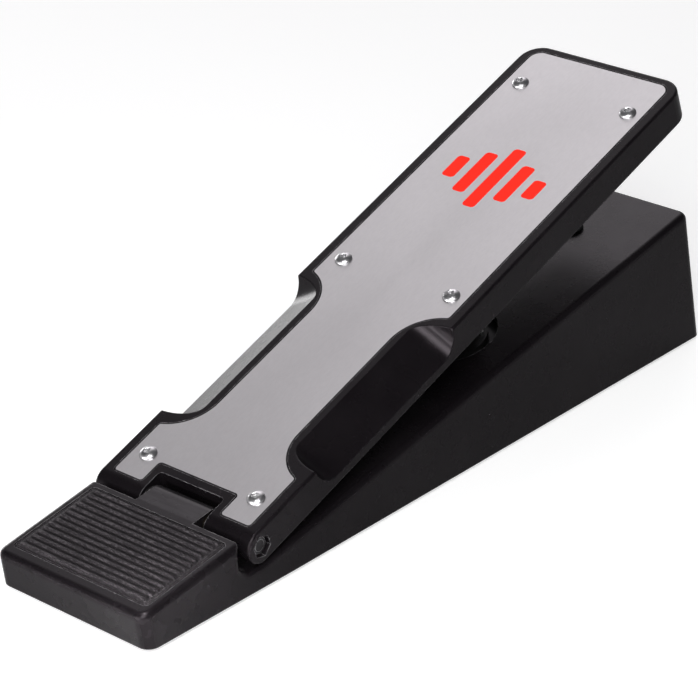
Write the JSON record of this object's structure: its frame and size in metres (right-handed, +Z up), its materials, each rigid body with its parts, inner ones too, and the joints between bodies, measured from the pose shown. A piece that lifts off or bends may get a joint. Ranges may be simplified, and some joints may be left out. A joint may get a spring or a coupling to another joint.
{
  "type": "sustain pedal",
  "caption": "Wedge-shaped foot pedal: a hinged, sprung metal footboard over a base with heel rest, position sensor, lead socket and polarity switch.",
  "frame": {"origin": "centre of the footprint, on the floor", "axes": "+X to the right seen from the heel, +Y from heel to toe, +Z up"},
  "size_m": [0.084, 0.3604, 0.1289],
  "materials": {
    "black_cast": "satin black powder coat on die-cast aluminium",
    "tread_metal": "satin stainless steel sheet",
    "red_inlay": "satin red enamel",
    "bright_screw": "polished steel",
    "dark_steel": "black-oxide steel",
    "black_rubber": "matt moulded rubber",
    "black_nylon": "moulded nylon",
    "cover_sheet": "black anodised sheet",
    "spring_steel": "music wire",
    "bronze": "sintered bronze",
    "board_laminate": "green solder mask",
    "zinc_part": "zinc-plated steel",
    "nickel_part": "nickel plate"
  },
  "bodies": {
    "base": {"base_housing": "black_cast", "bottom_cover": "cover_sheet", "cover_screws": "dark_steel", "rubber_feet": "black_rubber", "heel_pad": "black_rubber", "hinge_bushes": "bronze", "stop_buffer": "black_rubber", "toe_bumper": "black_rubber", "spring_seat": "black_nylon", "return_spring": "spring_steel", "circuit_board": "board_laminate", "board_standoffs": "zinc_part", "board_screws": "zinc_part", "board_components": "black_nylon", "light_gate": "black_nylon", "lever_bracket": "zinc_part", "lever_pin": "zinc_part", "jack_socket": "black_nylon", "jack_washer": "nickel_part", "jack_nut": "nickel_part", "slide_switch": "black_nylon"},
    "footboard": {"footboard": "black_cast", "tread_plate": "tread_metal", "tread_screws": "bright_screw", "emblem": "red_inlay", "hinge_bolt": "dark_steel", "hinge_nut": "dark_steel", "thrust_washers": "black_nylon", "plunger_sleeve": "black_nylon", "sleeve_screws": "zinc_part", "limit_ring": "dark_steel", "ring_screws": "zinc_part"},
    "lever": {"sensor_lever": "black_nylon"},
    "slider": {"polarity_slider": "black_nylon"}
  },
  "joints": [
    {"name": "footboard_hinge", "type": "hinge", "parent": "base", "child": "footboard", "pos_m": [0, -0.11675, 0.02085], "axis": [1, 0, 0], "range_deg": [-8.9, 0], "stiffness_Nm_per_rad": 30, "springref_deg": 6.13, "deforming": ["return_spring"]},
    {"name": "lever_hinge", "type": "hinge", "parent": "base", "child": "lever", "pos_m": [0.006, 0.13069, 0.02265], "axis": [1, 0, 0], "range_deg": [0, 27]},
    {"name": "polarity_slide", "type": "slide", "parent": "base", "child": "slider", "axis": [1, 0, 0], "range_m": [0, 0.0046]}
  ],
  "couplings": [
    {"joint": "lever_hinge", "follows": "footboard_hinge", "ratio": -3}
  ]
}
